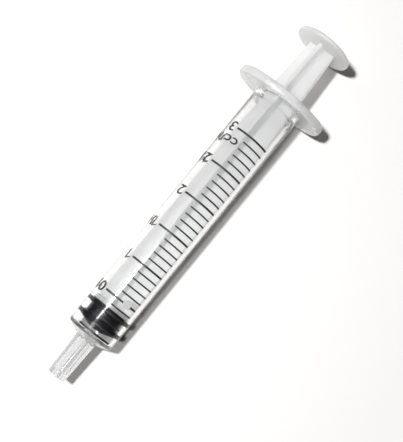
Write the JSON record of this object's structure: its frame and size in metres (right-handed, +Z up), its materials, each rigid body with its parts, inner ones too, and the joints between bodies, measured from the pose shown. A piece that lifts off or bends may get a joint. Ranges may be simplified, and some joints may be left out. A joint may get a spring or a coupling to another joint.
{
  "type": "luer slip syringe",
  "caption": "Small clear syringe with a plain tapered tip, oval finger flange, black rubber stopper and white four-ribbed plunger, lying on its side.",
  "frame": {"origin": "on the floor, under the middle of the whole syringe at rest", "axes": "+Z up, +X from the tip towards the thumb disc, +Y along the long way of the finger flange"},
  "size_m": [0.0866, 0.0208, 0.0135],
  "materials": {
    "clear_plastic": "clear polished moulding",
    "white_plastic": "milky moulded polypropylene",
    "black_rubber": "smooth black rubber with a film of oil",
    "black_ink": "printed ink"
  },
  "bodies": {
    "barrel": {"barrel": "clear_plastic", "scale_print": "black_ink"},
    "stopper": {"stopper": "black_rubber"},
    "plunger_rod": {"plunger_rod": "white_plastic"}
  },
  "joints": [
    {"name": "stopper_slide", "type": "slide", "parent": "barrel", "child": "stopper", "axis": [0.9997, 0, 0.0251], "range_m": [-0.00149, 0.05149]},
    {"name": "rod_spin", "type": "hinge", "parent": "stopper", "child": "plunger_rod", "pos_m": [-0.026, 0, 0.00539], "axis": [0.9997, 0, 0.0251], "continuous": true}
  ]
}
